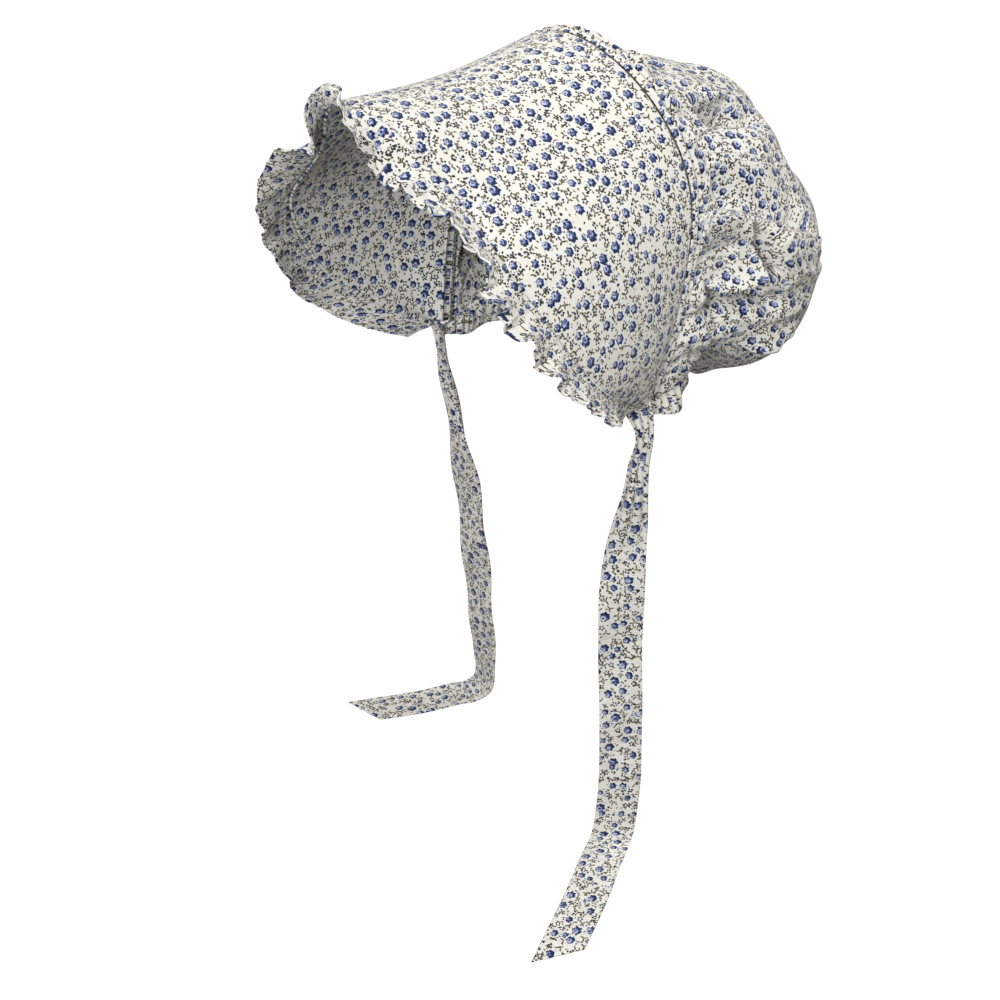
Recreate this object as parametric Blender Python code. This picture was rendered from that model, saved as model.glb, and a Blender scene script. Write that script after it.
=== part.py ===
"""A gathered cotton sunbonnet, in the form it takes on a head.

Metres, +Z up. The wearer faces -Y, and the wearer's left is +X. The origin is where the top of the head
touches the inside of the hood.

The hood is a stiffened brim with a gathered ruffle along its front. A narrow band joins the brim's back
edge to the crown, a full bag of thin cotton, and a frill hangs from the crown's gathered nape. A tie hangs
from each lower corner of the brim, and its end lies on the surface below.
"""

import math
from collections import namedtuple

import bpy
import numpy as np

# Walls
BRIM_WALL = 0.0024
BAND_WALL = 0.0018
CROWN_WALL = 0.0012
RUFFLE_WALL = 0.0010
FRILL_WALL = 0.0010
TIE_WALL = 0.0012
JOIN_GAP = 0.0003

# Arch where the brim's back edge is sewn, from its top to the two lower corners
ARCH_WIDTH = 0.214
ARCH_RISE = 0.214
ARCH_TOP_Y = 0.055
ARCH_TOP_Z = 0.0095
ARCH_SWING = 0.026

# Front edge of the brim
OPENING_WIDTH = 0.244
OPENING_DROP = 0.1965
BRIM_REACH = 0.1705
BRIM_FALL = 0.0175
EDGE_SWEEP = 0.1425
BRIM_BOW = 0.004
TOP_SAG = 0.010
TOP_SPREAD = 0.35

# Band between brim and crown
BAND_WIDTH = 0.006

# Ruffle on the front edge
RUFFLE_HEAD = 0.0022
RUFFLE_WIDTH = 0.025
RUFFLE_WAVES = 25
RUFFLE_SWING = 13.0

# Nape line and the frill below it
NAPE_REACH = 0.074
NAPE_RISE = 0.020
FRILL_DROP = 0.019
FRILL_FLARE = math.radians(18)
FRILL_WAVES = 13
FRILL_DEPTH = 0.0036

# Bag of the crown
CROWN_DEPTH = 0.164
CROWN_WIDTH = 0.270
CROWN_HEIGHT = 0.250
CROWN_CENTRE_Z = -0.142
CROWN_HEAD = 0.004
HEAD_SHARE = 0.02
CROWN_GATHERS = 24
GATHER_DEPTH = 0.0022
GATHER_REACH = 0.30

# Ties
TIE_LENGTH = 0.480
TIE_WIDTH = 0.031
TIE_SLANT = 0.020
TIE_GAP = 0.0012
SURFACE_Z = -0.5695

# How finely the sheets are cut into facets
ARCH_STEPS = 44
BRIM_STEPS = 6
RUFFLE_STEPS = 140
RUFFLE_ROWS = 2
FRILL_STEPS = 52
CROWN_COLUMNS = 120
CROWN_STEPS = 10
TIE_STEPS = 36

Line = namedtuple("Line", "share width depth drop")
Ring = namedtuple("Ring", "share back back_top back_bottom width top bottom")
Fold = namedtuple("Fold", "from_angle from_share to_angle to_share bow spread height")
Lean = namedtuple("Lean", "share turn width")
Lay = namedtuple("Lay", "share side depth fall turn width")

# From the top (share 0) to the lower left corner (share 1): half widths, swings forward and drops
ARCH = (
    Line(0.00, 0.000, 0.00, 0.000),
    Line(0.25, 0.580, -0.12, 0.115),
    Line(0.50, 0.940, -0.27, 0.365),
    Line(0.75, 1.000, 0.12, 0.690),
    Line(1.00, 0.911, 0.72, 0.995),
)

# The same for the front edge, as shares of half the opening, of the sweep and of the drop
FRONT_EDGE = (
    Line(0.00, 0.000, 0.00, 0.000),
    Line(0.12, 0.235, 0.04, 0.040),
    Line(0.25, 0.455, 0.14, 0.180),
    Line(0.50, 0.870, 0.21, 0.440),
    Line(0.75, 1.000, 0.53, 0.776),
    Line(1.00, 0.815, 1.00, 1.000),
)

# Large waves of the ruffle along the front edge: how many degrees it leans out of the brim's surface, and
# the share of its width that it reaches. It stands up at the top's right and hangs down at the top's left.
LEANS = (
    Lean(-1.00, -20, 0.90),
    Lean(-0.90, 4, 1.00),
    Lean(-0.80, 18, 0.95),
    Lean(-0.72, -4, 1.00),
    Lean(-0.64, -22, 1.00),
    Lean(-0.56, -12, 1.00),
    Lean(-0.49, -16, 1.00),
    Lean(-0.43, 2, 1.00),
    Lean(-0.37, 22, 1.00),
    Lean(-0.30, 30, 1.00),
    Lean(-0.26, 26, 0.90),
    Lean(-0.225, -4, 0.70),
    Lean(-0.19, -42, 0.72),
    Lean(-0.16, -20, 0.50),
    Lean(-0.13, 44, 0.42),
    Lean(-0.10, 70, 0.44),
    Lean(-0.07, 86, 0.48),
    Lean(-0.04, 98, 0.50),
    Lean(-0.01, 92, 0.42),
    Lean(0.02, 20, 0.32),
    Lean(0.05, -60, 0.52),
    Lean(0.08, -74, 0.80),
    Lean(0.12, -72, 0.95),
    Lean(0.18, -48, 1.00),
    Lean(0.22, -10, 1.00),
    Lean(0.27, 16, 1.00),
    Lean(0.33, 14, 0.90),
    Lean(0.38, 30, 0.80),
    Lean(0.44, 24, 0.85),
    Lean(0.51, 18, 0.95),
    Lean(0.57, -6, 1.00),
    Lean(0.66, 4, 0.95),
    Lean(0.73, 30, 0.85),
    Lean(0.80, 34, 0.80),
    Lean(0.88, 24, 0.80),
    Lean(0.94, -20, 0.85),
    Lean(1.00, -46, 0.85),
)

# Rings of the crown behind the band: how far back each is at the sides, the top and the bottom, as shares of
# the crown's depth, then half its width and its height above and below the centre
RINGS = (
    Ring(0.16, 0.13, 0.12, 0.42, 0.91, 1.13, 0.52),
    Ring(0.36, 0.40, 0.38, 0.58, 1.00, 1.04, 0.70),
    Ring(0.56, 0.68, 0.65, 0.75, 0.92, 0.91, 0.82),
    Ring(0.75, 0.90, 0.87, 0.91, 0.66, 0.62, 0.66),
    Ring(0.90, 0.98, 0.97, 0.99, 0.30, 0.28, 0.32),
    Ring(1.00, 1.00, 1.00, 1.00, 0.00, 0.00, 0.00),
)

# Folds of the crown, each from one place to another: angle round the crown in degrees (0 is the left side,
# 90 the top) and share of the way to its back, then its sideways bow, its spread and its height in metres
FOLDS = (
    Fold(27, 0.00, 14, 0.52, 0.002, 0.012, 0.007),
    Fold(6, 0.06, 6, 0.27, -0.010, 0.007, 0.011),
    Fold(6, 0.27, 18, 0.20, 0.004, 0.006, 0.006),
    Fold(-6, 0.07, -5, 0.32, 0.000, 0.011, -0.015),
    Fold(12, 0.08, 12, 0.19, 0.000, 0.009, -0.006),
    Fold(3, 0.06, -16, 0.07, 0.000, 0.005, 0.005),
    Fold(-34, 0.18, -20, 0.44, -0.004, 0.009, 0.007),
    Fold(-46, 0.14, -40, 0.45, 0.000, 0.011, -0.007),
    Fold(38, 0.10, 41, 0.38, 0.003, 0.008, 0.006),
    Fold(48, 0.12, 50, 0.34, 0.000, 0.009, -0.005),
    Fold(59, 0.26, 52, 0.50, 0.004, 0.010, -0.010),
    Fold(80, 0.20, 66, 0.62, 0.000, 0.015, 0.010),
    Fold(42, 0.52, 34, 0.74, 0.000, 0.018, -0.008),
    Fold(-70, 0.30, -82, 0.62, 0.000, 0.014, 0.006),
    Fold(-112, 0.24, -100, 0.60, 0.000, 0.012, -0.007),
    Fold(150, 0.04, 166, 0.60, 0.003, 0.011, 0.009),
    Fold(178, 0.10, 172, 0.42, -0.006, 0.010, -0.011),
    Fold(196, 0.06, 184, 0.40, 0.000, 0.009, 0.008),
    Fold(216, 0.16, 208, 0.50, 0.000, 0.011, -0.008),
    Fold(128, 0.16, 136, 0.52, 0.004, 0.011, -0.008),
    Fold(100, 0.04, 104, 0.34, 0.000, 0.022, 0.006),
    Fold(90, 0.70, 250, 0.78, 0.010, 0.014, -0.006),
    Fold(10, 0.78, 196, 0.90, 0.008, 0.012, 0.005),
)

# Lay of each tie from its root at the brim's corner to its end, as shares of its length, with the fall as a
# share of the height above the surface, the turn of its width in degrees and the width it spreads to
LEFT_LAY = (
    Lay(0.00, 0.000, 0.000, 0.000, 24, 0.42),
    Lay(0.10, -0.009, 0.004, 0.137, 30, 0.52),
    Lay(0.18, -0.015, 0.004, 0.248, 35, 0.80),
    Lay(0.27, -0.021, 0.003, 0.373, 40, 0.98),
    Lay(0.38, -0.020, 0.003, 0.525, 44, 1.00),
    Lay(0.50, -0.012, 0.003, 0.690, 46, 1.00),
    Lay(0.64, -0.008, 0.001, 0.880, 46, 1.00),
    Lay(0.71, -0.009, -0.007, 0.970, 42, 1.00),
    Lay(0.77, -0.003, -0.031, 1.000, 36, 1.00),
    Lay(0.87, 0.042, -0.121, 1.000, 30, 1.00),
    Lay(1.00, 0.104, -0.259, 1.000, 25, 0.96),
)
RIGHT_LAY = (
    Lay(0.00, 0.000, 0.000, 0.000, -24, 0.42),
    Lay(0.10, -0.006, 0.024, 0.130, -16, 0.52),
    Lay(0.18, -0.007, 0.041, 0.236, -11, 0.80),
    Lay(0.27, -0.008, 0.057, 0.355, -6, 0.98),
    Lay(0.38, -0.009, 0.073, 0.500, -2, 1.00),
    Lay(0.50, -0.010, 0.089, 0.660, 0, 1.00),
    Lay(0.66, -0.016, 0.108, 0.868, -8, 1.00),
    Lay(0.74, -0.030, 0.117, 0.962, -18, 1.00),
    Lay(0.80, -0.056, 0.103, 1.000, -26, 1.00),
    Lay(0.90, -0.096, 0.015, 1.000, -28, 1.00),
    Lay(1.00, -0.157, -0.092, 1.000, -38, 0.96),
)


def mirrored(rows):
    """The rows of the left half, with the right half ahead of them at shares below zero."""
    right = [row._replace(share=-row.share, width=-row.width) for row in rows[:0:-1]]
    return right + list(rows)


def smooth(at, value, share):
    """Values at each share on a smooth curve through the given values, which may be points."""
    at = np.asarray(at, float)
    value = np.asarray(value, float)
    share = np.asarray(share, float)
    slope = np.gradient(value, at, axis=0)
    left = np.clip(np.searchsorted(at, share, side="right") - 1, 0, len(at) - 2)
    shape = (-1,) + (1,) * (value.ndim - 1)
    step = (at[left + 1] - at[left]).reshape(shape)
    t = ((share - at[left]) / (at[left + 1] - at[left])).reshape(shape)
    rise = value[left + 1] - value[left]
    bend = slope[left] * (t - 2 * t**2 + t**3) + slope[left + 1] * (t**3 - t**2)
    return value[left] + rise * (3 * t**2 - 2 * t**3) + step * bend


def along(rows, column, share):
    """One column of a table at each share."""
    return smooth([row.share for row in rows], [getattr(row, column) for row in rows], share)


def unit(vectors):
    return vectors / np.linalg.norm(vectors, axis=-1, keepdims=True)


def ease(share):
    """From 0 to 1 with no corner at either end."""
    share = np.clip(share, 0, 1)
    return share * share * (3 - 2 * share)


def arch_line(share):
    """Points of the brim's back edge. Share runs from -1, the right corner, to 1, the left corner."""
    rows = mirrored(ARCH)
    x = along(rows, "width", share) * ARCH_WIDTH / 2
    y = ARCH_TOP_Y - along(rows, "depth", share) * ARCH_SWING
    z = ARCH_TOP_Z - along(rows, "drop", share) * ARCH_RISE
    return np.stack([x, y, z], axis=-1)


def front_line(share):
    """Points of the brim's front edge, at the same shares."""
    rows = mirrored(FRONT_EDGE)
    x = along(rows, "width", share) * OPENING_WIDTH / 2
    y = ARCH_TOP_Y - BRIM_REACH + along(rows, "depth", share) * EDGE_SWEEP
    z = ARCH_TOP_Z - BRIM_FALL - along(rows, "drop", share) * OPENING_DROP
    return np.stack([x, y, z], axis=-1)


def brim_frame(share):
    """At each share: the back point, the front point, and the unit vectors forward and outward."""
    back = arch_line(share)
    front = front_line(share)
    small = 0.01
    ahead = front_line(share + small) + arch_line(share + small)
    behind = front_line(share - small) + arch_line(share - small)
    forward = unit(front - back)
    outward = unit(np.cross(forward, ahead - behind))
    return back, front, forward, outward


def band_back(share):
    """Back edge of the band, where the crown starts."""
    back, _, forward, _ = brim_frame(share)
    return back - forward * (2 * JOIN_GAP + BAND_WIDTH)


def nape_line(share):
    """From the right corner (-1) round the nape to the left corner (1), where the crown is gathered."""
    corner = band_back(np.array([1.0]))[0]
    back = np.cos(share * math.pi / 2)
    x = corner[0] * np.sin(share * math.pi / 2)
    y = corner[1] + NAPE_REACH * back**0.8
    z = corner[2] + NAPE_RISE * back
    return np.stack([x, y, z], axis=-1)


def sheet_object(name, grid, wall, material, looped=False):
    """A grid of points as a thin closed solid: its outer face is the grid, and a looped grid is capped."""
    columns, rows = grid.shape[:2]
    points = grid.reshape(-1, 3).tolist()
    faces = []
    for i in range(columns if looped else columns - 1):
        k = (i + 1) % columns
        for j in range(rows - 1):
            faces.append((i * rows + j, i * rows + j + 1, k * rows + j + 1, k * rows + j))
    if looped:
        points.append(grid[:, -1].mean(axis=0).tolist())
        for i in range(columns):
            faces.append((i * rows + rows - 1, len(points) - 1, (i + 1) % columns * rows + rows - 1))
    mesh = bpy.data.meshes.new(name)
    mesh.from_pydata(points, [], faces)
    mesh.materials.append(material)
    mesh.shade_smooth()
    obj = bpy.data.objects.new(name, mesh)
    bpy.context.scene.collection.objects.link(obj)
    thicken = obj.modifiers.new("wall", "SOLIDIFY")
    thicken.thickness = wall
    thicken.offset = -1
    return obj


def cotton(name, colour, roughness):
    material = bpy.data.materials.new(name)
    material.use_nodes = True
    surface = material.node_tree.nodes["Principled BSDF"]
    surface.inputs["Base Color"].default_value = (*colour, 1)
    surface.inputs["Roughness"].default_value = roughness
    surface.inputs["Metallic"].default_value = 0
    return material


def gather_wave(share, waves, shift):
    """An uneven wave along shares -1 to 1, at most 1 high."""
    warp = 0.5 * np.sin(0.31 * waves * share + shift) + 0.3 * np.sin(5.1 * share + 2 * shift)
    swell = 0.74 + 0.26 * np.sin(0.43 * waves * share + 3 * shift)
    return swell * np.sin(math.pi * waves * share + 2 * warp + shift)


def make_brim(material):
    """A sheet between the arch and the front edge, bowed out at its sides and hollow at its top."""
    shares = np.linspace(-1, 1, ARCH_STEPS + 1)
    back, front, _, outward = brim_frame(shares)
    t = np.linspace(0, 1, BRIM_STEPS + 1)[None, :, None]
    sag = TOP_SAG * np.exp(-((shares / TOP_SPREAD) ** 2))[:, None, None]
    middle = 4 * t * (1 - t)
    bow = BRIM_BOW * middle - sag * middle**1.5
    grid = back[:, None] * (1 - t) + front[:, None] * t + bow * outward[:, None]
    return sheet_object("brim", grid, BRIM_WALL, material)


def make_band(material):
    """A narrow strip behind the brim's back edge, from corner to corner."""
    shares = np.linspace(-1, 1, ARCH_STEPS + 1)
    back, _, forward, _ = brim_frame(shares)
    grid = np.stack([back - forward * (JOIN_GAP + BAND_WIDTH), back - forward * JOIN_GAP], axis=1)
    return sheet_object("seam_band", grid, BAND_WALL, material)


def make_ruffle(material):
    """A strip that leans more and more out of the brim's surface towards its own edge."""
    shares = np.linspace(-1, 1, RUFFLE_STEPS + 1)
    _, front, forward, outward = brim_frame(shares)
    lean = along(LEANS, "turn", shares) + RUFFLE_SWING * gather_wave(shares, RUFFLE_WAVES, 0.7)
    width = (RUFFLE_WIDTH * along(LEANS, "width", shares))[:, None]
    root = front + forward * JOIN_GAP - outward * (BRIM_WALL - RUFFLE_WALL) / 2
    rows = [root, root + forward * RUFFLE_HEAD]
    for j in range(RUFFLE_ROWS):
        turn = np.radians(lean * (0.5 + (j + 0.5) / RUFFLE_ROWS))[:, None]
        rows.append(rows[-1] + width / RUFFLE_ROWS * (np.cos(turn) * forward + np.sin(turn) * outward))
    return sheet_object("brim_ruffle", np.stack(rows, axis=1), RUFFLE_WALL, material)


def crown_loop(turn):
    """The line that the crown is gathered to, over the arch and back round the nape. With each point come the
    direction in which the cloth leaves it and its angle round the crown."""
    arch_part = 0.66
    on_arch = (turn <= arch_part)[:, None]
    over = 2 * np.clip(turn / arch_part, 0, 1) - 1
    under = 1 - 2 * np.clip((turn - arch_part) / (1 - arch_part), 0, 1)
    line = np.where(on_arch, band_back(over), nape_line(under))
    leave = np.where(on_arch, -brim_frame(over)[2], unit(np.array([0, 1, -0.4])))
    on_line = np.arctan2(line[:, 2] - CROWN_CENTRE_Z, line[:, 0])
    angle = np.where(on_arch[:, 0], on_line, (on_line[0] + math.pi / 2) * -under - math.pi / 2)
    return line, leave, angle


def crown_grid(columns, shares):
    """Smooth bag of the crown, from the line it is gathered to (share 0) to its back (share 1)."""
    line, leave, angle = crown_loop(np.arange(columns) / columns)
    up = np.sin(angle)
    points = [line, line + leave * CROWN_HEAD]
    for ring in RINGS:
        back = ring.back + up**2 * (np.where(up > 0, ring.back_top, ring.back_bottom) - ring.back)
        x = ring.width * CROWN_WIDTH / 2 * np.cos(angle)
        y = ARCH_TOP_Y + BAND_WIDTH + CROWN_DEPTH * back
        z = CROWN_CENTRE_Z + np.where(up > 0, ring.top, ring.bottom) * CROWN_HEIGHT / 2 * up
        points.append(np.stack([x, y, z], axis=-1))
    grid = smooth([0.0, HEAD_SHARE] + [ring.share for ring in RINGS], points, shares)
    return grid.transpose(1, 0, 2), angle


def fold_height(angle, share):
    """How far the crown's folds lift its surface at an angle and a share."""
    per_degree = math.radians(1) * CROWN_WIDTH / 2
    per_share = 1.5 * CROWN_DEPTH
    x = np.degrees(angle) * per_degree
    y = share * per_share
    lift = np.zeros(np.broadcast(x, y).shape)
    for fold in FOLDS:
        start = np.array([fold.from_angle * per_degree, fold.from_share * per_share])
        run = np.array([fold.to_angle * per_degree, fold.to_share * per_share]) - start
        length = np.linalg.norm(run)
        run = run / length
        for turn in (-360 * per_degree, 0, 360 * per_degree):
            dx = x + turn - start[0]
            dy = y - start[1]
            on = (dx * run[0] + dy * run[1]) / length
            off = dy * run[0] - dx * run[1] - 4 * fold.bow * on * (1 - on)
            past = np.maximum(0, np.abs(on - 0.5) - 0.35) / 0.3
            lift += fold.height * np.exp(-((off / fold.spread) ** 2) - past**2 * 3)
    return lift


def make_crown(material):
    """A full bag with its folds and the gathers along its sewn edge."""
    shares = np.append([0.0], np.linspace(HEAD_SHARE, 0.93, CROWN_STEPS))
    grid, angle = crown_grid(CROWN_COLUMNS, shares)
    ahead = np.roll(grid, -1, axis=0) - np.roll(grid, 1, axis=0)
    normal = unit(np.cross(ahead, np.gradient(grid, axis=1)))
    free = ease((shares - HEAD_SHARE) / 0.08)
    turn = np.arange(CROWN_COLUMNS) / CROWN_COLUMNS * 2 - 1
    gather = GATHER_DEPTH * gather_wave(turn, CROWN_GATHERS, 0.4)[:, None] * ease(1 - shares / GATHER_REACH)
    lift = (fold_height(angle[:, None], shares[None]) + gather) * free
    grid = grid + normal * lift[..., None]
    return sheet_object("crown", grid[::-1], CROWN_WALL, material, looped=True)


def make_frill(material):
    """A short gathered strip hanging from the nape line."""
    shares = np.linspace(-1, 1, FRILL_STEPS + 1)
    line = nape_line(shares)
    out = line - line[[0, -1]].mean(axis=0)
    out[:, 1] += NAPE_REACH / 3
    out[:, 2] = 0
    out = unit(out)[:, None]
    fall = (FRILL_DROP * np.linspace(0, 1, 3))[None, :, None]
    wave = FRILL_DEPTH * gather_wave(shares, FRILL_WAVES, 1.9)[:, None, None] * ease(fall / FRILL_DROP)
    down = np.array([0, 0, -1.0])
    grid = line[:, None] + down * (JOIN_GAP + CROWN_WALL + fall * math.cos(FRILL_FLARE))
    grid = grid + out * (fall * math.sin(FRILL_FLARE) + wave)
    return sheet_object("nape_frill", grid[::-1], FRILL_WALL, material)


def make_tie(name, rows, side, material):
    """A strip from a corner of the brim, whose width stays level while it turns."""
    back, front, _, outward = brim_frame(np.array([float(side)]))
    root = ((back + front - outward * BRIM_WALL) / 2)[0] - np.array([0, 0, TIE_GAP])
    shares = np.linspace(0, 1, TIE_STEPS + 1)[:, None]
    across = np.array([[-1.0, 0.0, 1.0]])
    cut = 1 - TIE_SLANT / TIE_LENGTH * (1 + across) / 2
    at = (shares * cut).ravel()
    centre = root + np.stack([
        along(rows, "side", at) * TIE_LENGTH,
        along(rows, "depth", at) * TIE_LENGTH,
        along(rows, "fall", at) * (SURFACE_Z - root[2]),
    ], axis=-1)
    centre[:, 2] = np.maximum(centre[:, 2], SURFACE_Z)
    turn = np.radians(along(rows, "turn", at))
    level = np.stack([np.cos(turn), np.sin(turn), np.zeros_like(turn)], axis=-1)
    half = along(rows, "width", at) * TIE_WIDTH / 2
    grid = centre + level * (half * np.broadcast_to(across, (len(shares), 3)).ravel())[:, None]
    return sheet_object(name, grid.reshape(len(shares), 3, 3), TIE_WALL, material)


def build():
    for obj in list(bpy.data.objects):
        bpy.data.objects.remove(obj)
    stiff = cotton("stiffened_print_cotton", (0.80, 0.80, 0.74), 0.85)
    soft = cotton("print_cotton", (0.80, 0.80, 0.74), 0.9)
    tape = cotton("stitched_print_cotton", (0.72, 0.73, 0.68), 0.9)
    make_brim(stiff)
    make_band(tape)
    make_ruffle(soft)
    make_crown(soft)
    make_frill(soft)
    make_tie("tie_left", LEFT_LAY, 1, soft)
    make_tie("tie_right", RIGHT_LAY, -1, soft)


build()
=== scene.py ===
"""Looks of a gathered cotton sunbonnet: printed calico, gathers, ruffles, stitching and ties.

Metres, +Z up. The wearer faces -Y, and the wearer's left is +X. The origin is where the top of the head
touches the inside of the hood.
"""

import math
from collections import namedtuple

import bpy
import numpy as np
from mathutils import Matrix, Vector


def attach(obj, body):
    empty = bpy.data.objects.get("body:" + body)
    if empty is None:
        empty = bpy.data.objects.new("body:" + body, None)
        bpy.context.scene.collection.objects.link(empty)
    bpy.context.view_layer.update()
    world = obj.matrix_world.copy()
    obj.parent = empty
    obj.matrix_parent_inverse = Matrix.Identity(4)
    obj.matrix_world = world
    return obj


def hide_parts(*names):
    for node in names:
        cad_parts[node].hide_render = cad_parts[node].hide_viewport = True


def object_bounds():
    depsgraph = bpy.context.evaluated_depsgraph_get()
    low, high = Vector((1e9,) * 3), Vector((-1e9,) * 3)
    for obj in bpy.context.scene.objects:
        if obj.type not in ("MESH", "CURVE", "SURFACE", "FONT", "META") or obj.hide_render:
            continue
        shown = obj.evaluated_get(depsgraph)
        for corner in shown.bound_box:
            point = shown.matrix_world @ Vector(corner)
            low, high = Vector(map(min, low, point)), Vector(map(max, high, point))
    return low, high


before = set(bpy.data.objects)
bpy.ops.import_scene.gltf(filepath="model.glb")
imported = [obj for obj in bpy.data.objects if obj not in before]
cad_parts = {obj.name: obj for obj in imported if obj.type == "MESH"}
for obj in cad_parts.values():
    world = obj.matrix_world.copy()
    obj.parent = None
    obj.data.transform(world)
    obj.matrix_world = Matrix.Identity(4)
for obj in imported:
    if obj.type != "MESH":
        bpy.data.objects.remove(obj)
cad_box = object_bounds()


# Calico
# The whole bonnet is cut from one plain-woven printed cotton, matt and slightly crisp. Its cream ground
# carries small blue roses, each with a navy shadow on one side, between olive sprigs and tiny slate flowers.
# The sizes of the print and the weave are in millimetres.
GROUND_WARM = "#e6e4dc"
GROUND_COOL = "#e5e6e3"
ROSE_NAVY = "#1c2850"
ROSE_BLUE = "#6f83ba"
ROSE_PALE = "#c3cae6"
SPRIG_OLIVE = "#51462a"
SLATE = "#2a303e"
ROSE_SPACING = 13.2
BUD_SPACING = 25.0
SPRIG_SPACING = 6.4
FLOWER_SPACING = 7.4
LEAF_SPACING = 3.9
ROSE_SHADOW = math.radians(-40)
ROSE_WOBBLE = 2.2
SMALL_WOBBLE = 0.8
THREAD_SPACING = 0.55
WAVE_SCALE = 0.314
MATH = "ShaderNodeMath"
VECTOR = "ShaderNodeVectorMath"
MIX = "ShaderNodeMix"


def linear(hex_colour):
    """An sRGB hex colour as linear red, green, blue and alpha."""
    parts = [int(hex_colour[i:i + 2], 16) / 255 for i in (1, 3, 5)]
    return tuple(c / 12.92 if c <= 0.04045 else ((c + 0.055) / 1.055) ** 2.4 for c in parts) + (1.0,)


def add(tree, kind, *inputs, **settings):
    """Adds a node. Each input is None, a value, a node or a socket, and goes to the socket of its place."""
    node = tree.nodes.new(kind)
    for name, value in settings.items():
        setattr(node, name, value)
    for socket, value in zip(node.inputs, inputs):
        if isinstance(value, bpy.types.Node):
            tree.links.new(value.outputs[0], socket)
        elif isinstance(value, bpy.types.NodeSocket):
            tree.links.new(value, socket)
        elif value is not None:
            socket.default_value = value
    return node


def motif_cells(tree, place, spacing, spread, shift):
    """One motif in each cell of a scattered pattern. Gives the place in the cell from its centre and the
    distance, in millimetres, the turn by a random angle, and the cell's random numbers."""
    moved = add(tree, VECTOR, place, (shift, 1.7 * shift, 0.0), operation="ADD")
    cells = add(tree, "ShaderNodeTexVoronoi", voronoi_dimensions="2D")
    tree.links.new(moved.outputs[0], cells.inputs["Vector"])
    cells.inputs["Scale"].default_value = 1 / spacing
    cells.inputs["Randomness"].default_value = spread
    local = add(tree, VECTOR, moved, cells.outputs["Position"], operation="SUBTRACT")
    flat = add(tree, "ShaderNodeSeparateXYZ", local)
    luck = add(tree, "ShaderNodeSeparateColor", cells.outputs["Color"])
    away = add(tree, VECTOR, local, operation="LENGTH").outputs["Value"]
    bearing = add(tree, MATH, flat.outputs[1], flat.outputs[0], operation="ARCTAN2")
    spin = add(tree, MATH, luck.outputs[0], 2 * math.pi, operation="MULTIPLY")
    turned = add(tree, MATH, bearing, spin, operation="ADD")
    return local, away, turned, luck


def petal_place(tree, away, turned, petals):
    """Place within one of several equal sectors: along its middle line and across it, in millimetres."""
    sector = 2 * math.pi / petals
    folded = add(tree, MATH, turned, sector / 2, -sector / 2, operation="WRAP")
    along = add(tree, MATH, away, add(tree, MATH, folded, operation="COSINE"), operation="MULTIPLY")
    across = add(tree, MATH, away, add(tree, MATH, folded, operation="SINE"), operation="MULTIPLY")
    return along, add(tree, MATH, across, operation="ABSOLUTE")


def dash(tree, along, across, start, length, width):
    """1 inside a stroke that lies along a sector's middle line and is thickest in its middle."""
    from_middle = add(tree, MATH, along, start + length / 2, operation="SUBTRACT")
    from_middle = add(tree, MATH, from_middle, operation="ABSOLUTE")
    off = add(tree, MATH, from_middle, length / 2, operation="DIVIDE")
    off = add(tree, MATH, off, 2.0, operation="POWER")
    wide = add(tree, MATH, across, width / 2, operation="DIVIDE")
    wide = add(tree, MATH, wide, 2.0, operation="POWER")
    return add(tree, MATH, add(tree, MATH, off, wide, operation="ADD"), 1.0, operation="LESS_THAN")


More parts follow.
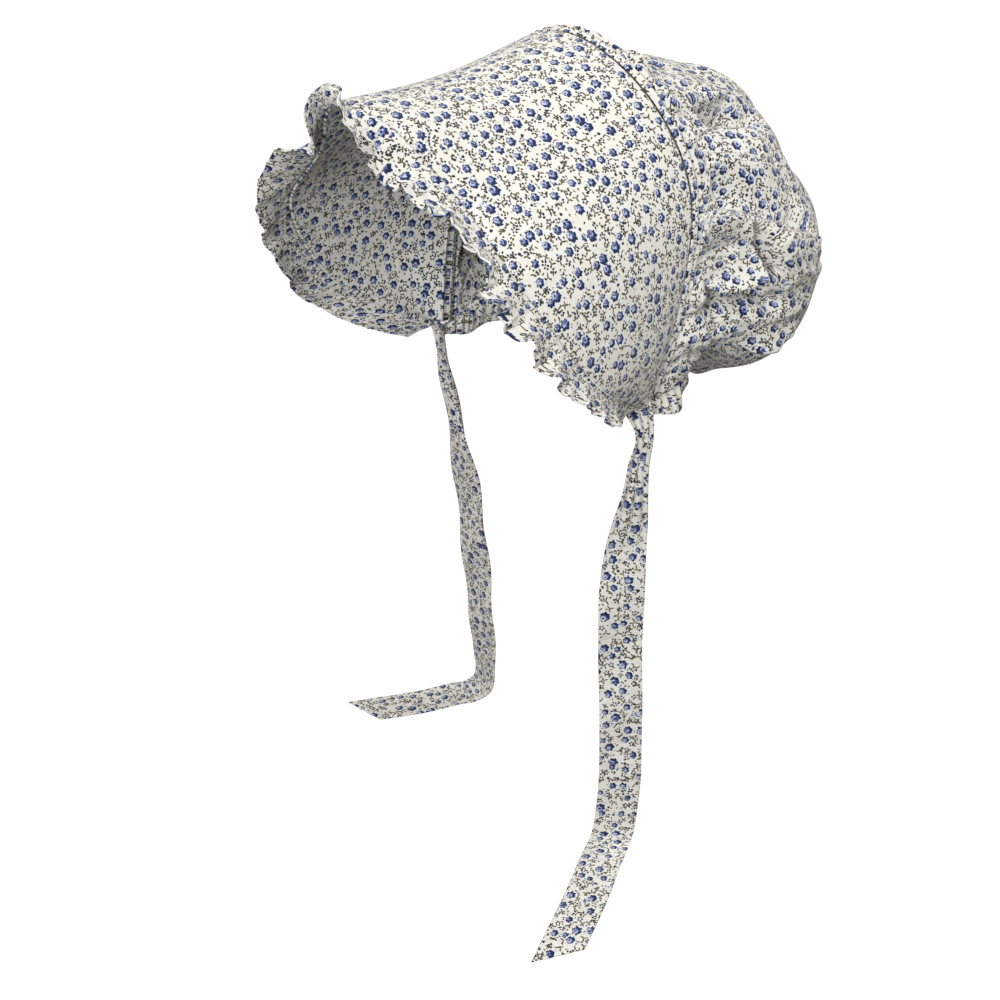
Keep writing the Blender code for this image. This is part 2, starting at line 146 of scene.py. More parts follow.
def make_print():
    """Node group that turns a place on the flat cloth, in millimetres, into the printed colour."""
    tree = bpy.data.node_groups.new("calico_print", "ShaderNodeTree")
    tree.interface.new_socket("Place", in_out="INPUT", socket_type="NodeSocketVector")
    tree.interface.new_socket("Colour", in_out="OUTPUT", socket_type="NodeSocketColor")
    start = add(tree, "NodeGroupInput")
    ragged = add(tree, "ShaderNodeTexNoise", noise_dimensions="2D")
    tree.links.new(start.outputs[0], ragged.inputs["Vector"])
    ragged.inputs["Scale"].default_value = 0.75
    ragged.inputs["Detail"].default_value = 2.0
    wobble = add(tree, VECTOR, ragged.outputs["Color"], (0.5, 0.5, 0.5), operation="SUBTRACT")
    slight = add(tree, VECTOR, wobble, (SMALL_WOBBLE, SMALL_WOBBLE, 0.0), operation="MULTIPLY")
    small_place = add(tree, VECTOR, start, slight, operation="ADD")
    strong = add(tree, VECTOR, wobble, (ROSE_WOBBLE, ROSE_WOBBLE, 0.0), operation="MULTIPLY")
    rose_place = add(tree, VECTOR, start, strong, operation="ADD")

    patches = add(tree, "ShaderNodeTexNoise", noise_dimensions="2D")
    tree.links.new(start.outputs[0], patches.inputs["Vector"])
    patches.inputs["Scale"].default_value = 0.16
    warm = add(tree, "ShaderNodeMapRange", patches, 0.40, 0.60, 0.0, 1.0)
    ground = add(tree, MIX, data_type="RGBA")
    tree.links.new(warm.outputs[0], ground.inputs["Factor"])
    ground.inputs["A"].default_value = linear(GROUND_COOL)
    ground.inputs["B"].default_value = linear(GROUND_WARM)

    def print_over(colour, mask, ink):
        """The colour with one ink laid over it where the mask is 1."""
        mix = add(tree, MIX, data_type="RGBA")
        tree.links.new(mask.outputs[0], mix.inputs["Factor"])
        tree.links.new(colour, mix.inputs["A"])
        mix.inputs["B"].default_value = linear(ink)
        return mix.outputs["Result"]

    def chosen(mask, luck, low, high):
        """The mask kept only in cells whose random number lies between two values."""
        above = add(tree, MATH, luck, low, operation="GREATER_THAN")
        below = add(tree, MATH, luck, high, operation="LESS_THAN")
        both = add(tree, MATH, above, below, operation="MULTIPLY")
        return add(tree, MATH, mask, both, operation="MULTIPLY")

    def strokes(colour, cells, petals, size, between, ink):
        """One kind of small motif: equal strokes round a centre, in the cells with a random number between
        two values. The size is where a stroke starts, its length and its width."""
        _, away, turned, luck = cells
        along, across = petal_place(tree, away, turned, petals)
        stroke = dash(tree, along, across, *size)
        return print_over(colour, chosen(stroke, luck.outputs[1], *between), ink)

    colour = ground.outputs["Result"]
    cells = motif_cells(tree, small_place, LEAF_SPACING, 1.0, 57.0)
    colour = strokes(colour, cells, 1, (-0.9, 2.0, 1.0), (0.0, 0.55), SPRIG_OLIVE)
    colour = strokes(colour, cells, 1, (-0.8, 1.6, 1.1), (0.55, 0.74), SLATE)
    cells = motif_cells(tree, small_place, SPRIG_SPACING, 0.9, 31.0)
    colour = strokes(colour, cells, 3, (0.0, 2.9, 1.05), (0.0, 0.5), SPRIG_OLIVE)
    colour = strokes(colour, cells, 4, (0.1, 2.3, 0.98), (0.5, 0.72), SPRIG_OLIVE)
    colour = strokes(colour, cells, 2, (0.3, 2.2, 1.2), (0.72, 0.88), SPRIG_OLIVE)
    colour = strokes(colour, cells, 1, (-1.0, 2.2, 1.9), (0.88, 1.0), SLATE)
    cells = motif_cells(tree, small_place, FLOWER_SPACING, 0.9, 7.0)
    colour = strokes(colour, cells, 5, (0.7, 1.55, 1.3), (0.0, 0.42), SLATE)
    colour = strokes(colour, cells, 4, (0.55, 1.6, 1.3), (0.42, 0.82), SLATE)

    def roses(colour, spacing, shift, small, large):
        """Ragged roses: navy petals, blue ones inside them away from the shadow, and a pale broken heart."""
        local, away, turned, luck = motif_cells(tree, rose_place, spacing, 0.74, shift)
        size = add(tree, "ShaderNodeMapRange", luck.outputs[1], 0.0, 1.0, small, large)
        reach = add(tree, MATH, away, size, operation="DIVIDE")
        lobes = add(tree, MATH, add(tree, MATH, turned, 6.0, operation="MULTIPLY"), operation="COSINE")
        clear = add(tree, MIX, data_type="RGBA")
        cleared = add(tree, MATH, reach, 1.34, operation="LESS_THAN")
        tree.links.new(cleared.outputs[0], clear.inputs["Factor"])
        tree.links.new(colour, clear.inputs["A"])
        clear.inputs["B"].default_value = linear(GROUND_COOL)
        outline = add(tree, MATH, lobes, 0.11, 0.93, operation="MULTIPLY_ADD")
        body = add(tree, MATH, reach, outline, operation="LESS_THAN")
        colour = print_over(clear.outputs["Result"], body, ROSE_NAVY)

        shadow_x = math.cos(ROSE_SHADOW)
        shadow_y = math.sin(ROSE_SHADOW)
        lit = add(tree, MATH, luck.outputs[2], 0.22, operation="MULTIPLY")
        shadow = add(tree, "ShaderNodeCombineXYZ", add(tree, MATH, lit, shadow_x, operation="MULTIPLY"),
                     add(tree, MATH, lit, shadow_y, operation="MULTIPLY"))
        inside = add(tree, VECTOR, local, size, operation="DIVIDE")
        inside = add(tree, VECTOR, inside, (0.27 * shadow_x, 0.27 * shadow_y, 0), operation="ADD")
        inside = add(tree, VECTOR, inside, shadow, operation="ADD")
        heart = add(tree, VECTOR, inside, operation="LENGTH").outputs["Value"]
        inner_outline = add(tree, MATH, lobes, -0.10, 0.65, operation="MULTIPLY_ADD")
        inner = add(tree, MATH, heart, inner_outline, operation="LESS_THAN")
        colour = print_over(colour, add(tree, MATH, inner, body, operation="MULTIPLY"), ROSE_BLUE)

        rings = add(tree, MATH, heart, 11.0, operation="MULTIPLY")
        swirl = add(tree, MATH, add(tree, MATH, rings, turned, operation="ADD"), operation="SINE")
        crest = add(tree, MATH, swirl, -0.05, operation="GREATER_THAN")
        near_heart = add(tree, MATH, heart, 0.48, operation="LESS_THAN")
        light = add(tree, MATH, crest, near_heart, operation="MULTIPLY")
        colour = print_over(colour, light, ROSE_PALE)
        trough = add(tree, MATH, swirl, -0.75, operation="LESS_THAN")
        dark = add(tree, MATH, add(tree, MATH, heart, 0.17, operation="LESS_THAN"),
                   add(tree, MATH, trough, inner, operation="MULTIPLY"), operation="MAXIMUM")
        return print_over(colour, dark, ROSE_NAVY)

    colour = roses(colour, BUD_SPACING, 91.0, 2.0, 2.8)
    colour = roses(colour, ROSE_SPACING, 0.0, 2.6, 3.7)
    end = add(tree, "NodeGroupOutput")
    tree.links.new(colour, end.inputs[0])
    return tree


calico_print = make_print()


def calico(name, crumple, roughness):
    """Printed calico. The weave is drawn at twice its real thread spacing so that it shows, and crumple is
    the height in metres of the creases that handling leaves in the cloth."""
    material = bpy.data.materials.new(name)
    material.use_nodes = True
    tree = material.node_tree
    surface = tree.nodes["Principled BSDF"]
    cloth = add(tree, "ShaderNodeUVMap", uv_map="cloth")
    place = add(tree, VECTOR, cloth, operation="SCALE")
    place.inputs["Scale"].default_value = 1000
    printed = add(tree, "ShaderNodeGroup", node_tree=calico_print)
    tree.links.new(place.outputs[0], printed.inputs[0])
    tree.links.new(printed.outputs[0], surface.inputs["Base Color"])
    weave = []
    for direction in ("X", "Y"):
        thread = add(tree, "ShaderNodeTexWave", bands_direction=direction)
        tree.links.new(place.outputs[0], thread.inputs["Vector"])
        thread.inputs["Scale"].default_value = WAVE_SCALE / THREAD_SPACING
        thread.inputs["Distortion"].default_value = 0.4
        weave.append(thread)
    both = add(tree, MATH, weave[0].outputs["Fac"], weave[1].outputs["Fac"], operation="ADD")
    threads = add(tree, "ShaderNodeBump")
    threads.inputs["Strength"].default_value = 0.35
    threads.inputs["Distance"].default_value = 0.00012
    tree.links.new(both.outputs[0], threads.inputs["Height"])
    creases = add(tree, "ShaderNodeTexNoise")
    tree.links.new(place.outputs[0], creases.inputs["Vector"])
    creases.inputs["Scale"].default_value = 0.11
    creases.inputs["Detail"].default_value = 5.0
    creases.inputs["Distortion"].default_value = 0.6
    crumpled = add(tree, "ShaderNodeBump")
    crumpled.inputs["Distance"].default_value = crumple
    tree.links.new(creases.outputs[0], crumpled.inputs["Height"])
    tree.links.new(threads.outputs[0], crumpled.inputs["Normal"])
    tree.links.new(crumpled.outputs[0], surface.inputs["Normal"])
    surface.inputs["Roughness"].default_value = roughness
    surface.inputs["Sheen Weight"].default_value = 0.12
    surface.inputs["Sheen Roughness"].default_value = 0.5
    surface.inputs["Specular IOR Level"].default_value = 0.25
    return material


stiff_calico = calico("stiffened_calico_print", 0.0012, 0.85)
soft_calico = calico("soft_calico_print", 0.0028, 0.9)


# Brim
# The stiffened front of the hood: two layers of calico over a stiffener, cut in one piece from ear to ear. It
# is bowed out at the sides and a little hollow along its top, and stays smooth.
ARCH_WIDTH = 0.214
ARCH_RISE = 0.214
ARCH_TOP_Y = 0.055
ARCH_TOP_Z = 0.0095
ARCH_SWING = 0.026
OPENING_WIDTH = 0.244
OPENING_DROP = 0.1965
BRIM_REACH = 0.1705
BRIM_FALL = 0.0175
EDGE_SWEEP = 0.1425
BRIM_BOW = 0.004
TOP_SAG = 0.010
TOP_SPREAD = 0.35
BRIM_WALL = 0.0024
BRIM_WAVER = 0.0007
EDGE_DIP = 0.0014
BACK_DIP_REACH = 0.0013
FRONT_DIP_REACH = 0.0012
FRONT_DIP_SHARE = 0.4
BRIM_COLUMNS = 240
BRIM_ROWS = 36

Line = namedtuple("Line", "share width depth drop")
ARCH = (
    Line(0.00, 0.000, 0.00, 0.000),
    Line(0.25, 0.580, -0.12, 0.115),
    Line(0.50, 0.940, -0.27, 0.365),
    Line(0.75, 1.000, 0.12, 0.690),
    Line(1.00, 0.911, 0.72, 0.995),
)
FRONT_EDGE = (
    Line(0.00, 0.000, 0.00, 0.000),
    Line(0.12, 0.235, 0.04, 0.040),
    Line(0.25, 0.455, 0.14, 0.180),
    Line(0.50, 0.870, 0.21, 0.440),
    Line(0.75, 1.000, 0.53, 0.776),
    Line(1.00, 0.815, 1.00, 1.000),
)


def mirrored(rows):
    """The rows of the left half, with the right half ahead of them at shares below zero."""
    right = [row._replace(share=-row.share, width=-row.width) for row in rows[:0:-1]]
    return right + list(rows)


def smooth(at, value, share):
    """Values at each share on a smooth curve through the given values, which may be points."""
    at = np.asarray(at, float)
    value = np.asarray(value, float)
    share = np.asarray(share, float)
    slope = np.gradient(value, at, axis=0)
    left = np.clip(np.searchsorted(at, share, side="right") - 1, 0, len(at) - 2)
    shape = (-1,) + (1,) * (value.ndim - 1)
    step = (at[left + 1] - at[left]).reshape(shape)
    t = ((share - at[left]) / (at[left + 1] - at[left])).reshape(shape)
    rise = value[left + 1] - value[left]
    bend = slope[left] * (t - 2 * t**2 + t**3) + slope[left + 1] * (t**3 - t**2)
    return value[left] + rise * (3 * t**2 - 2 * t**3) + step * bend


def along_rows(rows, column, share):
    """One column of a table at each share."""
    return smooth([row.share for row in rows], [getattr(row, column) for row in rows], share)


def unit(vectors):
    """The vectors at length 1."""
    return vectors / np.linalg.norm(vectors, axis=-1, keepdims=True)


def ease(share):
    """From 0 to 1 with no corner at either end."""
    share = np.clip(share, 0, 1)
    return share * share * (3 - 2 * share)


def arch_line(share):
    """Points of the brim's back edge. Share runs from -1, the right corner, to 1, the left corner."""
    rows = mirrored(ARCH)
    x = along_rows(rows, "width", share) * ARCH_WIDTH / 2
    y = ARCH_TOP_Y - along_rows(rows, "depth", share) * ARCH_SWING
    z = ARCH_TOP_Z - along_rows(rows, "drop", share) * ARCH_RISE
    return np.stack([x, y, z], axis=-1)


def front_line(share):
    """Points of the brim's front edge, at the same shares."""
    rows = mirrored(FRONT_EDGE)
    x = along_rows(rows, "width", share) * OPENING_WIDTH / 2
    y = ARCH_TOP_Y - BRIM_REACH + along_rows(rows, "depth", share) * EDGE_SWEEP
    z = ARCH_TOP_Z - BRIM_FALL - along_rows(rows, "drop", share) * OPENING_DROP
    return np.stack([x, y, z], axis=-1)


def brim_frame(share):
    """At each share: the back point, the front point, and the unit vectors forward and outward."""
    back = arch_line(share)
    front = front_line(share)
    small = 0.01
    ahead = front_line(share + small) + arch_line(share + small)
    behind = front_line(share - small) + arch_line(share - small)
    forward = unit(front - back)
    outward = unit(np.cross(forward, ahead - behind))
    return back, front, forward, outward


def path_length(points):
    """Length from the first point to each of the points, along their first axis."""
    steps = np.linalg.norm(np.diff(points, axis=0), axis=-1)
    return np.concatenate([np.zeros((1,) + steps.shape[1:]), np.cumsum(steps, axis=0)])


def unrolled(left, right):
    """Flat places of two edges of a strip, laid out triangle by triangle as the cloth is cut."""
    flat_left = [np.array([0.0, 0.0])]
    flat_right = [np.array([0.0, np.linalg.norm(right[0] - left[0])])]

    def placed(a, b, from_a, from_b):
        """The point at two distances from two flat points, to the right of the way from a to b."""
        base = np.linalg.norm(b - a)
        way = (b - a) / max(base, 1e-9)
        on = (from_a**2 - from_b**2 + base**2) / max(2 * base, 1e-9)
        off = math.sqrt(max(from_a**2 - on**2, 0))
        return a + way * on + np.array([way[1], -way[0]]) * off

    for i in range(len(left) - 1):
        next_right = placed(flat_left[i], flat_right[i], np.linalg.norm(right[i + 1] - left[i]),
                            np.linalg.norm(right[i + 1] - right[i]))
        next_left = placed(flat_left[i], next_right, np.linalg.norm(left[i + 1] - left[i]),
                           np.linalg.norm(left[i + 1] - right[i + 1]))
        flat_right.append(next_right)
        flat_left.append(next_left)
    return np.array(flat_left), np.array(flat_right)


def cloth_piece(name, grid, flat, wall, material):
    """A sheet of cloth with a thickness. Its outer face is the grid of points, and flat gives each point's
    place on the flat cloth in metres."""
    columns, rows = grid.shape[:2]
    index = np.arange(columns * rows).reshape(columns, rows)
    faces = np.stack([index[:-1, :-1], index[:-1, 1:], index[1:, 1:], index[1:, :-1]], axis=-1).reshape(-1, 4)
    return finished_cloth(name, grid.reshape(-1, 3), faces, flat.reshape(-1, 2)[faces], wall, material)


def finished_cloth(name, points, faces, corners, wall, material):
    """A mesh with the cloth's flat places as its UV map, thickened to its inside and riding on the body. A
    wall of 0 leaves a single sheet, and a face with -1 for its fourth point is a triangle."""
    mesh = bpy.data.meshes.new(name)
    mesh.from_pydata(points.tolist(), [], [[v for v in face if v >= 0] for face in faces.tolist()])
    uv = mesh.uv_layers.new(name="cloth")
    used = faces.reshape(-1) >= 0
    uv.data.foreach_set("uv", corners.reshape(-1, 2)[used].ravel())
    mesh.materials.append(material)
    mesh.shade_smooth()
    obj = bpy.data.objects.new(name, mesh)
    bpy.context.scene.collection.objects.link(obj)
    if wall:
        thicken = obj.modifiers.new("wall", "SOLIDIFY")
        thicken.thickness = wall
        thicken.offset = -1
    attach(obj, "root")
    return obj


shares = np.linspace(-1, 1, BRIM_COLUMNS + 1)
brim_back, brim_front, brim_forward, brim_outward = brim_frame(shares)
edge_rows = np.array([0.0, 0.003, 0.006, 0.010, 0.016, 0.026])
t = np.concatenate([edge_rows, np.linspace(0.045, 0.955, BRIM_ROWS - 1), 1 - edge_rows[::-1]])[None, :, None]
middle = 4 * t * (1 - t)
sag = TOP_SAG * np.exp(-((shares / TOP_SPREAD) ** 2))[:, None, None]
waver = BRIM_WAVER * np.sin(9 * shares[:, None, None] + 5 * t) * middle
back_dip = np.exp(-((t * BRIM_REACH / BACK_DIP_REACH) ** 2))
front_dip = FRONT_DIP_SHARE * np.exp(-(((1 - t) * BRIM_REACH / FRONT_DIP_REACH) ** 2))
pressed = EDGE_DIP * (back_dip + front_dip)
bow = BRIM_BOW * middle - sag * middle**1.5 + waver - pressed
brim_grid = brim_back[:, None] * (1 - t) + brim_front[:, None] * t + bow * brim_outward[:, None]
flat_back, flat_front = unrolled(brim_back, brim_front)
brim_flat = flat_back[:, None] * (1 - t) + flat_front[:, None] * t
brim = cloth_piece("brim_cloth", brim_grid, brim_flat, BRIM_WALL, stiff_calico)
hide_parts("brim")


# Seam band
# The brim and the crown are joined in one flat felled seam, about 6 mm wide, which two rows of short white
# stitches hold down. It draws in a little between the stitches.
BAND_WIDTH = 0.006
BAND_WALL = 0.0018
BAND_SWELL = 0.0012
BAND_ROWS = 20
JOIN_GAP = 0.0003
STITCH_PITCH = 0.0026
STITCH_LENGTH = 0.0017
STITCH_RADIUS = 0.00022
STITCH_PROUD = 0.0006
PUCKER_DEPTH = 0.0002
BAND_PRINT_FROM = 0.8
THREAD_WHITE = "#e9e6dc"
THREAD_SHADE = "#cfcabb"


def band_back(share):
    """Back edge of the band, where the crown starts."""
    back, _, forward, _ = brim_frame(share)
    return back - forward * (2 * JOIN_GAP + BAND_WIDTH)


t = np.linspace(0, 1, BAND_ROWS + 1)[None, :, None]
swell = BAND_SWELL * np.abs(np.sin(math.pi * np.where(t < 0.6, t / 0.6, (t - 0.6) / 0.4))) ** 0.7 - 0.0005
pucker = PUCKER_DEPTH * np.sin(path_length(brim_back)[:, None, None] * math.pi / STITCH_PITCH)
band_from = brim_back - brim_forward * (JOIN_GAP + BAND_WIDTH)
band_to = brim_back - brim_forward * JOIN_GAP
band_rise = swell + pucker * (1 - t)
band_grid = band_from[:, None] * (1 - t) + band_to[:, None] * t + band_rise * brim_outward[:, None]
band_run = path_length(band_to)[:, None]
band_flat = np.stack([np.broadcast_to(band_run, (len(shares), BAND_ROWS + 1)) + BAND_PRINT_FROM,
                      np.broadcast_to(BAND_WIDTH * t[..., 0], (len(shares), BAND_ROWS + 1))], axis=-1)
band = cloth_piece("seam_band_cloth", band_grid, band_flat, BAND_WALL, stiff_calico)
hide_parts("seam_band")


def cotton_thread():
    """Mercerised cotton sewing thread: off-white, with the low gloss of a twisted yarn."""
    material = bpy.data.materials.new("cotton_sewing_thread")
    material.use_nodes = True
    tree = material.node_tree
    surface = tree.nodes["Principled BSDF"]
    place = add(tree, "ShaderNodeTexCoord")
    twist = add(tree, "ShaderNodeTexNoise")
    tree.links.new(place.outputs["Object"], twist.inputs["Vector"])
    twist.inputs["Scale"].default_value = 900
    tone = add(tree, MIX, data_type="RGBA")
    tree.links.new(twist.outputs[0], tone.inputs["Factor"])
    tone.inputs["A"].default_value = linear(THREAD_WHITE)
    tone.inputs["B"].default_value = linear(THREAD_SHADE)
    tree.links.new(tone.outputs["Result"], surface.inputs["Base Color"])
    surface.inputs["Roughness"].default_value = 0.6
    return material


thread = cotton_thread()


def stitch_tree():
    """Geometry nodes: short stitches along curves, one for each pitch, laid with the curve's direction."""
    tree = bpy.data.node_groups.new("stitches", "GeometryNodeTree")
    tree.interface.new_socket("Geometry", in_out="INPUT", socket_type="NodeSocketGeometry")
    for name in ("Pitch", "Length", "Radius"):
        tree.interface.new_socket(name, in_out="INPUT", socket_type="NodeSocketFloat")
    tree.interface.new_socket("Geometry", in_out="OUTPUT", socket_type="NodeSocketGeometry")
    start = add(tree, "NodeGroupInput")
    spaced = add(tree, "GeometryNodeCurveToPoints", mode="LENGTH")
    tree.links.new(start.outputs["Geometry"], spaced.inputs["Curve"])
    tree.links.new(start.outputs["Pitch"], spaced.inputs["Length"])
    stitch = add(tree, "GeometryNodeMeshIcoSphere")
    stitch.inputs["Subdivisions"].default_value = 2
    slim = add(tree, "ShaderNodeCombineXYZ", start.outputs["Radius"], start.outputs["Radius"],
               add(tree, MATH, start.outputs["Length"], 0.5, operation="MULTIPLY"))
    shaped = add(tree, "GeometryNodeTransform")
    tree.links.new(stitch.outputs["Mesh"], shaped.inputs["Geometry"])
    tree.links.new(slim.outputs[0], shaped.inputs["Scale"])
    placed = add(tree, "GeometryNodeInstanceOnPoints")
    tree.links.new(spaced.outputs["Points"], placed.inputs["Points"])
    tree.links.new(shaped.outputs[0], placed.inputs["Instance"])
    tree.links.new(spaced.outputs["Rotation"], placed.inputs["Rotation"])
    real = add(tree, "GeometryNodeRealizeInstances", placed)
    coloured = add(tree, "GeometryNodeSetMaterial", real)
    coloured.inputs["Material"].default_value = thread
    end = add(tree, "NodeGroupOutput")
    tree.links.new(coloured.outputs[0], end.inputs[0])
    return tree


stitches = stitch_tree()


def sewn(name, lines):
    """Rows of stitches along lines of points, as one plain mesh."""
    curve = bpy.data.curves.new(name, "CURVE")
    curve.dimensions = "3D"
    for line in lines:
        spline = curve.splines.new("POLY")
        spline.points.add(len(line) - 1)
        spline.points.foreach_set("co", np.column_stack([line, np.ones(len(line))]).ravel())
    source = bpy.data.objects.new(name + "_line", curve)
    bpy.context.scene.collection.objects.link(source)
    modifier = source.modifiers.new("stitches", "NODES")
    modifier.node_group = stitches
    sizes = {"Pitch": STITCH_PITCH, "Length": STITCH_LENGTH, "Radius": STITCH_RADIUS}
    for item in stitches.interface.items_tree:
        if item.in_out == "INPUT" and item.name in sizes:
            modifier[item.identifier] = sizes[item.name]
    bpy.context.view_layer.update()
    evaluated = source.evaluated_get(bpy.context.evaluated_depsgraph_get())
    mesh = bpy.data.meshes.new_from_object(evaluated)
    bpy.data.objects.remove(source)
    obj = bpy.data.objects.new(name, mesh)
    bpy.context.scene.collection.objects.link(obj)
    mesh.shade_smooth()
    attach(obj, "root")
    return obj


sewn("band_stitches", [
    band_from + brim_forward * 0.0018 + brim_outward * STITCH_PROUD,
    band_to - brim_forward * 0.0012 + brim_outward * STITCH_PROUD,
])


# Brim ruffle
# A strip of calico, hemmed on one edge and gathered on the other into the brim's front seam, which one row of
# stitches holds. It swings in and out in loose curls, larger on the wearer's left, stands up at the right of
# the top and hangs into the opening at the left of it.
RUFFLE_HEAD = 0.0022
RUFFLE_WIDTH = 0.025
RUFFLE_WALL = 0.0010
RUFFLE_WAVES = 25
RUFFLE_SWING = 13.0
RUFFLE_COLUMNS = 1300
RUFFLE_ROWS = 24
PLEAT_PITCH = 0.0042
PLEAT_DEPTH = 0.0005
CURL_PITCH = 0.0140
CURL_TURN = 21
CURL_SLIDE = 0.0014
RIPPLE_PITCH = 0.0075
RIPPLE_TURN = 5
PRINT_FULLNESS = 1.12
RUFFLE_PRINT_FROM = 0.4
EDGE_STITCH_INSET = 0.0014
EDGE_STITCH_PROUD = 0.0002

Lean = namedtuple("Lean", "share turn width")
LEANS = (
    Lean(-1.00, -20, 0.90),
    Lean(-0.90, 4, 1.00),
    Lean(-0.80, 18, 0.95),
    Lean(-0.72, -4, 1.00),
    Lean(-0.64, -22, 1.00),
    Lean(-0.56, -12, 1.00),
    Lean(-0.49, -16, 1.00),
    Lean(-0.43, 2, 1.00),
    Lean(-0.37, 22, 1.00),
    Lean(-0.30, 30, 1.00),
    Lean(-0.26, 26, 0.90),
    Lean(-0.225, -4, 0.70),
    Lean(-0.19, -42, 0.72),
    Lean(-0.16, -20, 0.50),
    Lean(-0.13, 44, 0.42),
    Lean(-0.10, 70, 0.44),
    Lean(-0.07, 86, 0.48),
    Lean(-0.04, 98, 0.50),
    Lean(-0.01, 92, 0.42),
    Lean(0.02, 20, 0.32),
    Lean(0.05, -60, 0.52),
    Lean(0.08, -74, 0.80),
    Lean(0.12, -72, 0.95),
    Lean(0.18, -48, 1.00),
    Lean(0.22, -10, 1.00),
    Lean(0.27, 16, 1.00),
    Lean(0.33, 24, 0.76),
    Lean(0.38, 30, 0.66),
    Lean(0.44, 26, 0.74),
    Lean(0.51, 14, 1.00),
    Lean(0.57, 18, 1.00),
    Lean(0.66, 18, 0.96),
    Lean(0.73, 26, 0.92),
    Lean(0.80, 34, 0.80),
    Lean(0.88, 24, 0.80),
    Lean(0.94, 4, 0.85),
    Lean(1.00, -12, 0.70),
)


def gather_wave(share, waves, shift):
    """An uneven wave along shares -1 to 1, at most 1 high."""
    warp = 0.5 * np.sin(0.31 * waves * share + shift) + 0.3 * np.sin(5.1 * share + 2 * shift)
    swell = 0.74 + 0.26 * np.sin(0.43 * waves * share + 3 * shift)
    return swell * np.sin(math.pi * waves * share + 2 * warp + shift)


def loose_wave(run, pitch, seed):
    """A wave along a length in metres whose crests are unevenly spaced and unevenly high, at most 1 high."""
    chance = np.random.default_rng(seed)
    count = int(run[-1] / pitch) + 4
    crests = np.cumsum(pitch * chance.uniform(0.55, 1.45, count)) - pitch
    phase = np.interp(run, crests, np.arange(count)) * 2 * math.pi
    height = np.interp(run, crests, chance.uniform(0.35, 1.0, count))
    return height * np.sin(phase), phase


shares = np.linspace(-1, 1, RUFFLE_COLUMNS + 1)
_, front, forward, outward = brim_frame(shares)
seam_run = path_length(front)
sideways = unit(np.gradient(front, axis=0))
root = front + forward * JOIN_GAP - outward * (BRIM_WALL - RUFFLE_WALL) / 2
calm = 0.30 + 0.70 * ease((shares + 0.10) / 0.25)
lean = along_rows(LEANS, "turn", shares) + RUFFLE_SWING * gather_wave(shares, RUFFLE_WAVES, 0.7) * calm
reach = RUFFLE_WIDTH * along_rows(LEANS, "width", shares)
curl, curl_phase = loose_wave(seam_run, CURL_PITCH, 11)
ripple, _ = loose_wave(seam_run, RIPPLE_PITCH, 5)
pleats, _ = loose_wave(seam_run, PLEAT_PITCH, 3)
rows = [root, root + forward * RUFFLE_HEAD]
widths = np.linspace(0, 1, RUFFLE_ROWS + 1)
for j in range(RUFFLE_ROWS):
    part = (widths[j] + widths[j + 1]) / 2
    wavy = calm * (CURL_TURN * curl * part**1.3 + RIPPLE_TURN * ripple * part)
    turn = np.radians(lean * (0.5 + part) + wavy)[:, None]
    way = np.cos(turn) * forward + np.sin(turn) * outward
    rows.append(rows[-1] + (reach / RUFFLE_ROWS)[:, None] * way)
ruffle_grid = np.stack(rows, axis=1)
across = np.concatenate([[0, RUFFLE_HEAD / RUFFLE_WIDTH * 0.5], RUFFLE_HEAD / RUFFLE_WIDTH + widths[1:]])
slide = CURL_SLIDE * calm * np.sin(curl_phase * 2 + 0.8)
ruffle_grid += slide[:, None, None] * sideways[:, None] * across[None, :, None] ** 1.5
fade = np.exp(-across / 0.30) * ease(across / 0.08)
ruffle_grid += (PLEAT_DEPTH * pleats)[:, None, None] * outward[:, None] * fade[None, :, None]
ruffle_size = (RUFFLE_COLUMNS + 1, len(across))
across_cut = across[None] * RUFFLE_WIDTH + RUFFLE_PRINT_FROM
ruffle_flat = np.stack([np.broadcast_to(PRINT_FULLNESS * seam_run[:, None], ruffle_size),
                        np.broadcast_to(across_cut, ruffle_size)], axis=-1)
ruffle = cloth_piece("brim_ruffle_cloth", ruffle_grid, ruffle_flat, RUFFLE_WALL, soft_calico)
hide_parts("brim_ruffle")
sewn("brim_edge_stitches", [
    brim_front - brim_forward * EDGE_STITCH_INSET + brim_outward * EDGE_STITCH_PROUD,
])


# Crown
# A full bag of the same calico, gathered to the band and to the nape. Its fullness falls into deep folds from
# the gathers, stands out in a ridge at ear height and hangs in a swag below it.
CROWN_WALL = 0.0012
CROWN_DEPTH = 0.164
CROWN_WIDTH = 0.270
CROWN_HEIGHT = 0.250
CROWN_CENTRE_Z = -0.142
CROWN_HEAD = 0.004
HEAD_SHARE = 0.02
CROWN_GATHERS = 24
GATHER_DEPTH = 0.0022
GATHER_REACH = 0.30
NAPE_REACH = 0.074
NAPE_RISE = 0.020
CROWN_COLUMNS = 590
CROWN_ROWS = 154
CROWN_TUCKS = (0.05, 0.11, 0.17, 0.225, 0.28, 0.33, 0.375, 0.421, 0.462, 0.497, 0.531, 0.577, 0.612, 0.655,
               0.70, 0.75, 0.80, 0.86, 0.92)
HEADING_SHARES = (0.0, 0.004, 0.008, 0.013)
CROWN_END = 0.985
HEADING_RISE = 0.0012
HEADING_TUCK = 0.0026
UNDER_BAND_DEPTH = 0.0022
UNDER_BAND_REACH = 0.0025
FREE_FROM_HEADING = 0.022

